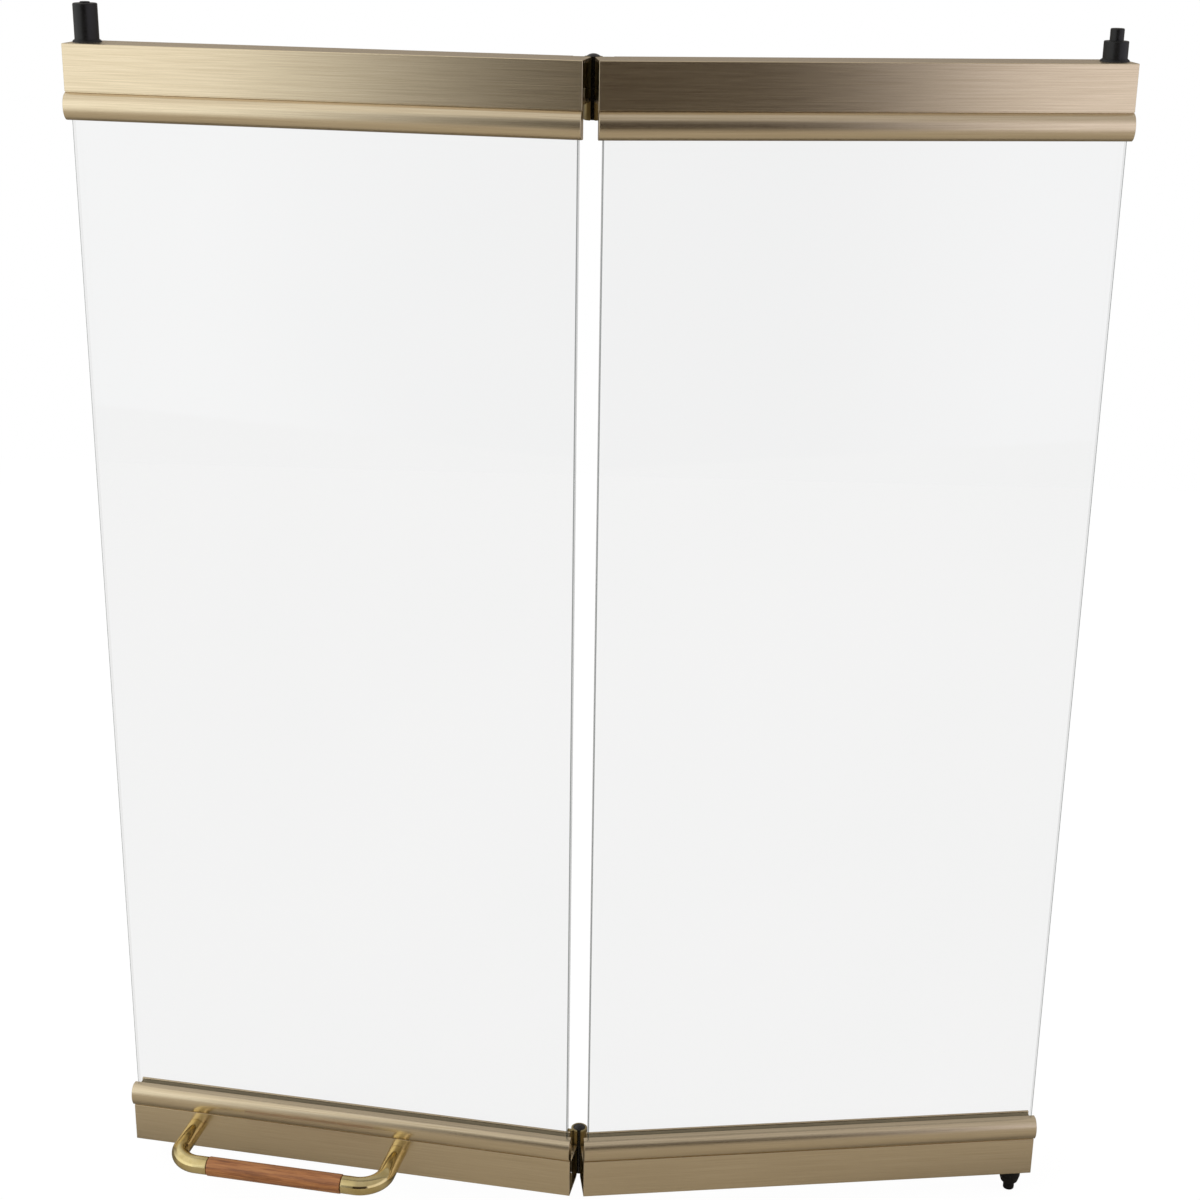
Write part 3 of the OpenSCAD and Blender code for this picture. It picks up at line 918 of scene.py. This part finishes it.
# The stem and the end inside the rail that both sprung pins share.
def pinRoot():
    p = pins
    stem, stemTop = p["stem"]
    flange, flangeThick = p["flange"]
    spigot, spigotEnd = p["spigot"]
    return [
        (p["peg"], -stemTop, 0.05),
        (stem, -stemTop, 0.1),
        (stem, p["bushEnd"], 0),
        (flange, p["bushEnd"], 0.2),
        (flange, p["bushEnd"] + flangeThick, 0.2),
        (spigot, p["bushEnd"] + flangeThick, 0.2),
        (spigot, spigotEnd, 0.5),
        (0, spigotEnd, 0),
    ]


def makeGuidePeg():
    p = pins
    nub, nubHigh = p["nub"]
    top = -p["pegRise"]
    corners = [
        (0, top - nubHigh, 0),
        (nub, top - nubHigh, 0.25),
        (nub, top, 0.1),
        (p["peg"], top, 0.55),
    ] + pinRoot()
    return turned("guidePeg", roundCorners(corners, closed=False))


def makeTopPivot():
    p = pins
    tip, tipLong = p["topTip"]
    shoulder = -p["pivotRise"]
    corners = [
        (0, shoulder - tipLong, 0),
        (tip, shoulder - tipLong, 0.5),
        (tip, shoulder, 0.15),
        (p["peg"], shoulder, 0.45),
    ] + pinRoot()
    return turned("topPivotPin", roundCorners(corners, closed=False))


def makeFootPin():
    p = pins
    tip, tipLong = p["footTip"]
    neck, taper = p["footTaper"]
    shoulder = -p["footDrop"]
    corners = [
        (0, shoulder - tipLong, 0),
        (tip, shoulder - tipLong, 0.5),
        (tip, shoulder, 0.15),
        (neck, shoulder, 0.3),
        (p["foot"], shoulder + taper, 0.6),
        (p["foot"], p["footIn"], 0.3),
        (0, p["footIn"], 0),
    ]
    return turned("bottomPivotPin", roundCorners(corners, closed=False))


def makeBush(name):
    p = pins
    collar, thick = p["collar"]
    bore = p["stem"][0] + snug
    end = p["bushEnd"] - snug
    corners = [
        (bore, -thick, 0.15),
        (collar - p["collarTaper"], -thick, 0.3),
        (collar, -snug, 0),
        (collar, 0, 0),
        (p["bush"], 0, 0),
        (p["bush"], end, 0.2),
        (bore, end, 0.15),
    ]
    return turned(name, roundCorners(corners), closed=True)


def makeEndBlock(name, bore, boreDeep):
    low = rail["wall"] + snug
    high = rail["boxHigh"] - rail["wall"] - snug
    rear = rail["depth"] - rail["wall"] - snug
    corner = pins["blockCorner"]
    loop = roundCorners([
        (low, low, corner),
        (rear, low, corner),
        (rear, high, corner),
        (low, high, corner),
    ])
    block = extrude(name, [loop], outerEnd - pins["blockLength"], outerEnd, pins["blockEase"])
    hole = move(plainRod(bore, -overrun, boreDeep), overPin)
    screwHole = plainRod(pilotHole, rail["depth"] - rail["wall"] - pins["screwBite"], rail["depth"])
    move(screwHole, facingRear(outerEnd - rail["blockScrew"], rail["screwHigh"]))
    return combine(block, [hole, screwHole])


# Radius and depth of the blocks' bores.
throughBore = (pins["blockBore"], rail["boxHigh"])
footBore = (pins["foot"] + pins["footClear"], pins["footHoleTo"])
mouldings = (
    (move(makeGuidePeg(), overPin), "lead", "guide_peg", "guide_peg", True),
    (move(makeTopPivot(), overPin), "pivot", "top_pivot_pin", "top_pivot_pin", True),
    (move(makeFootPin(), overPin), "pivot", "pivot_panel", "bottom_pivot_pin", False),
    (move(makeBush("guideBush"), overPin), "lead", "lead_panel", "guide_bushing", True),
    (move(makeBush("topPivotBush"), overPin), "pivot", "pivot_panel", "top_pivot_bushing", True),
    (makeEndBlock("guideBlock", *throughBore), "lead", "lead_panel", "guide_block", True),
    (makeEndBlock("topPivotBlock", *throughBore), "pivot", "pivot_panel", "top_pivot_block", True),
    (makeEndBlock("bottomPivotBlock", *footBore), "pivot", "pivot_panel", "bottom_pivot_block", False),
)
for moulding, side, body, node, upper in mouldings:
    fit(moulding, side, body, [node], [nylon], upper=upper)
print("pins, bushes and blocks in place")


# From the rail's face, round the bend and up to the grip, with both ends eased.
def makeElbow(name, legAt, gripEnd):
    p = pull
    way = 1 if gripEnd > legAt else -1
    soft = arcPoints((0, 0), p["ease"], p["ease"], 180, 90, 4)
    path = []
    for s in soft:
        foot = -p["footGap"] - (p["ease"] + s.x) / 2
        path.append((legAt, foot, p["rod"] - (p["ease"] - s.y) / 2))
    bendY = p["bend"] - p["reach"]
    bendSteps = 18
    for k in range(bendSteps + 1):
        a = math.pi / 2 * k / bendSteps
        across = way * p["bend"] * (1 - math.cos(a))
        path.append((legAt + across, bendY - p["bend"] * math.sin(a), p["rod"]))
    for s in reversed(soft):
        path.append((gripEnd - way * (p["ease"] + s.x), -p["reach"], p["rod"] - (p["ease"] - s.y)))
    elbow = sweepRound(name, path, p["high"])
    bore = p["tieRod"] + p["rodClear"]
    screwHole = move(plainRod(bore, -p["screwDeep"], overrun), facingRear(legAt, p["high"]))
    rodHole = plainRod(bore, -p["rodDeep"], overrun)
    alongGrip = Matrix.Rotation(way * math.pi / 2, 4, "Y")
    move(rodHole, Matrix.Translation((gripEnd, -p["reach"], p["high"])) @ alongGrip)
    return combine(elbow, [screwHole, rodHole])


def makeGrip():
    p = pull
    end = p["gripLength"] - 2 * p["seam"]
    bore = p["tieRod"] + p["gripClear"]
    corners = [(bore, 0, 0.1), (p["grip"], 0, 0.4), (p["grip"], end, 0.4), (bore, end, 0.1)]
    grip = turned("handleGrip", roundCorners(corners), closed=True, sides=64)
    lie = Matrix.Translation((gripEnds[1] + p["seam"], -p["reach"], p["high"]))
    return move(grip, lie @ Matrix.Rotation(math.pi / 2, 4, "Y"))


for name, node, legAt, gripEnd in (
    ("outerElbow", "handle_outer_elbow", legsAt[0], gripEnds[0]),
    ("innerElbow", "handle_inner_elbow", legsAt[1], gripEnds[1]),
):
    elbow = makeElbow(name, legAt, gripEnd)
    fit(elbow, "lead", "lead_panel", [node], [brass], squared=True)
fit(makeGrip(), "lead", "lead_panel", ["handle_grip"], [wood])
print("handle bent and fitted")


# Screws, washers, rod and springs stay as drawn in the frame.
keptFinishes = {
    "lead_hinge_screws": steel,
    "pivot_hinge_screws": steel,
    "guide_block_screw": steel,
    "top_block_screw": steel,
    "bottom_block_screw": steel,
    "handle_screws": steel,
    "handle_washers": steel,
    "handle_tie_rod": steel,
    "guide_spring": springWire,
    "top_pivot_spring": springWire,
}
for name, paint in keptFinishes.items():
    node = frame["nodes"][name]
    if not node.material_slots:
        node.data.materials.append(paint)
    for place in node.material_slots:
        place.material = paint
print("fasteners finished")


# Walls run from their own tint at 85 degrees to the back's at 130. Each edge gives the degrees from
# straight ahead where the wall ends, where the dark starts, and how fast it falls between them.
tent = {
    "left": (1.28, 1.31, 1.33),
    "right": (1.05, 1.02, 1.15),
    "back": (0.31, 0.28, 0.25),
    "opening": (0.038, 0.028, 0.021),
    "wallTo": 85,
    "backFrom": 130,
    "leftEdge": (-31.0, -20.5, 1.5),
    "rightEdge": (26.8, 21.0, 1.6),
    "aboveLeft": (0.98, 0.97, 0.95),
    "aboveRight": (0.54, 0.52, 0.51),
    "aboveTurn": (-0.5, -0.1),
    "ceilingRise": (0.32, 0.56),
    "below": (0.38, 0.34, 0.29),
    "groundRise": (-0.5, -0.28),
}


def smoothRange(nodes, links, source, low, high):
    span = nodes.new("ShaderNodeMapRange")
    span.interpolation_type = "SMOOTHSTEP"
    span.inputs["From Min"].default_value = low
    span.inputs["From Max"].default_value = high
    links.new(source, span.inputs["Value"])
    return span.outputs["Result"]


def mixTint(nodes, links, amount, first, second):
    blend = nodes.new("ShaderNodeMix")
    blend.data_type = "RGBA"
    links.new(amount, blend.inputs["Factor"])
    for source, place in ((first, "A"), (second, "B")):
        if isinstance(source, tuple):
            blend.inputs[place].default_value = (*source, 1)
        else:
            links.new(source, blend.inputs[place])
    return blend.outputs["Result"]


# Stops from the bright wall down to the dark opening, or back up again.
def fadeStops(wall, edge):
    bright, dark, power = edge
    stops = []
    steps = 5
    for k in range(steps + 1):
        t = k / steps
        tint = Vector(tent["opening"]).lerp(Vector(wall), t ** power)
        stops.append((dark + (bright - dark) * t, tuple(tint)))
    return stops


# White walls at the sides, a dark opening in front and a duller wall behind.
def hangTent():
    world = bpy.data.worlds.new("lightTent")
    world.use_nodes = True
    bpy.context.scene.world = world
    nodes = world.node_tree.nodes
    links = world.node_tree.links
    walls = nodes["Background"]
    coords = nodes.new("ShaderNodeTexCoord")
    split = nodes.new("ShaderNodeSeparateXYZ")
    links.new(coords.outputs["Generated"], split.inputs["Vector"])
    across, ahead, up = split.outputs
    front = nodes.new("ShaderNodeMath")
    front.operation = "MULTIPLY"
    front.inputs[1].default_value = -1
    links.new(ahead, front.inputs[0])
    bearing = nodes.new("ShaderNodeMath")
    bearing.operation = "ARCTAN2"
    links.new(across, bearing.inputs[0])
    links.new(front.outputs["Value"], bearing.inputs[1])
    place = spread(nodes, links, bearing.outputs["Value"], 0, 1, -math.pi, math.pi)
    stops = [(-tent["backFrom"], tent["back"]), (-tent["wallTo"], tent["left"])]
    stops += reversed(fadeStops(tent["left"], tent["leftEdge"]))
    stops += fadeStops(tent["right"], tent["rightEdge"])
    stops += [(tent["wallTo"], tent["right"]), (tent["backFrom"], tent["back"])]
    wall = ramp(nodes, links, place, [(degrees / 360 + 0.5, tint) for degrees, tint in stops])
    toRight = smoothRange(nodes, links, across, *tent["aboveTurn"])
    above = mixTint(nodes, links, toRight, tent["aboveLeft"], tent["aboveRight"])
    overhead = smoothRange(nodes, links, up, *tent["ceilingRise"])
    wall = mixTint(nodes, links, overhead, wall, above)
    offGround = smoothRange(nodes, links, up, *tent["groundRise"])
    wall = mixTint(nodes, links, offGround, tent["below"], wall)
    links.new(wall, walls.inputs["Color"])
    backdrop = nodes.new("ShaderNodeBackground")
    backdrop.inputs["Color"].default_value = (1, 1, 1, 1)
    rays = nodes.new("ShaderNodeLightPath")
    seen = rays.outputs["Is Camera Ray"]
    surface = mixSurface(nodes, links, seen, walls.outputs["Background"], backdrop.outputs["Background"])
    links.new(surface, nodes["World Output"].inputs["Surface"])


ground = {
    "half": 1.3,
    "gap": 0.0005,
    "glow": 0.962,
    "grey": 0.52,
    # Painted shadow: the floor's grey under and behind the panels, seen only in reflections.
    "paintedShadow": 0.26,              # under and behind the panels
    "paintedShadowRise": (-0.055, -0.015),
    "warmth": (1, 0.92, 0.78),
    "seenTint": (0.06, 0.06, 0.06),
    "roughness": 0.9,
}


def layFloor():
    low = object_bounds()[0].z - ground["gap"]
    half = ground["half"]
    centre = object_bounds()[0].lerp(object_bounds()[1], 0.5)
    mesh = bpy.data.meshes.new("floor")
    corners = [(-half, -half), (half, -half), (half, half), (-half, half)]
    mesh.from_pydata([(centre.x + x, centre.y + y, low) for x, y in corners], [], [(0, 1, 2, 3)])
    floor = bpy.data.objects.new("floor", mesh)
    bpy.context.scene.collection.objects.link(floor)
    paint, nodes, links, shader = newPaint("paleFloor")
    rays = nodes.new("ShaderNodeLightPath")
    coords = nodes.new("ShaderNodeTexCoord")
    split = nodes.new("ShaderNodeSeparateXYZ")
    links.new(coords.outputs["Object"], split.inputs["Vector"])
    # Painted shadow: the floor's colour darkens under and behind the panels for all but camera rays.
    paintedShadowMask = smoothRange(nodes, links, split.outputs["Y"], *ground["paintedShadowRise"])
    front = tuple(ground["grey"] * part for part in ground["warmth"])
    paintedShadow = tuple(ground["paintedShadow"] * part for part in ground["warmth"])
    tint = mixTint(nodes, links, paintedShadowMask, front, paintedShadow)
    tint = mixTint(nodes, links, rays.outputs["Is Camera Ray"], tint, ground["seenTint"])
    links.new(tint, shader.inputs["Base Color"])
    shader.inputs["Roughness"].default_value = ground["roughness"]
    shader.inputs["Specular IOR Level"].default_value = 0.0
    shader.inputs["Emission Color"].default_value = (1, 1, 1, 1)
    glow = nodes.new("ShaderNodeMath")
    glow.operation = "MULTIPLY"
    glow.inputs[1].default_value = ground["glow"]
    links.new(rays.outputs["Is Camera Ray"], glow.inputs[0])
    links.new(glow.outputs["Value"], shader.inputs["Emission Strength"])
    mesh.materials.append(paint)


lamps = {
    "key": {"at": (-1.5, -1.3, 1.7), "size": 1.1, "power": 14.0, "tint": (1.0, 0.98, 0.95)},
    "fill": {"at": (1.6, -0.9, 1.2), "size": 1.0, "power": 6.0, "tint": (1.0, 0.97, 0.95)},
}


def hangLamp(name, lamp, aim):
    light = bpy.data.lights.new(name, "AREA")
    light.shape = "SQUARE"
    light.size = lamp["size"]
    light.energy = lamp["power"]
    light.color = lamp["tint"]
    holder = bpy.data.objects.new(name, light)
    holder.location = lamp["at"]
    holder.rotation_euler = (aim - Vector(lamp["at"])).to_track_quat("-Z", "Y").to_euler()
    holder.visible_camera = False
    holder.visible_glossy = False
    bpy.context.scene.collection.objects.link(holder)


shot = {
    "at": (-0.17404, -0.89037, 0.61528),
    "yaw": -2.28,
    "pitch": -19.416,
    "roll": 0.901,
    "lens": 62.12,
    "sensor": 36,
    "clipFrom": 0.01,
}


def setCamera():
    camera = bpy.data.cameras.new("camera")
    camera.lens = shot["lens"]
    camera.sensor_width = shot["sensor"]
    camera.clip_start = shot["clipFrom"]
    holder = bpy.data.objects.new("camera", camera)
    aim = Matrix.Rotation(math.radians(-shot["yaw"]), 4, "Z")
    aim = aim @ Matrix.Rotation(math.radians(90 + shot["pitch"]), 4, "X")
    aim = aim @ Matrix.Rotation(math.radians(shot["roll"]), 4, "Z")
    holder.matrix_world = Matrix.Translation(shot["at"]) @ aim
    bpy.context.scene.collection.objects.link(holder)
    bpy.context.scene.camera = holder


hangTent()
layFloor()
middleHigh = 0.3
for name, lamp in lamps.items():
    hangLamp(name, lamp, Vector((hingeAt.x, 0, middleHigh)))
setCamera()
bpy.context.scene.view_settings.view_transform = "Standard"
print("studio lit")
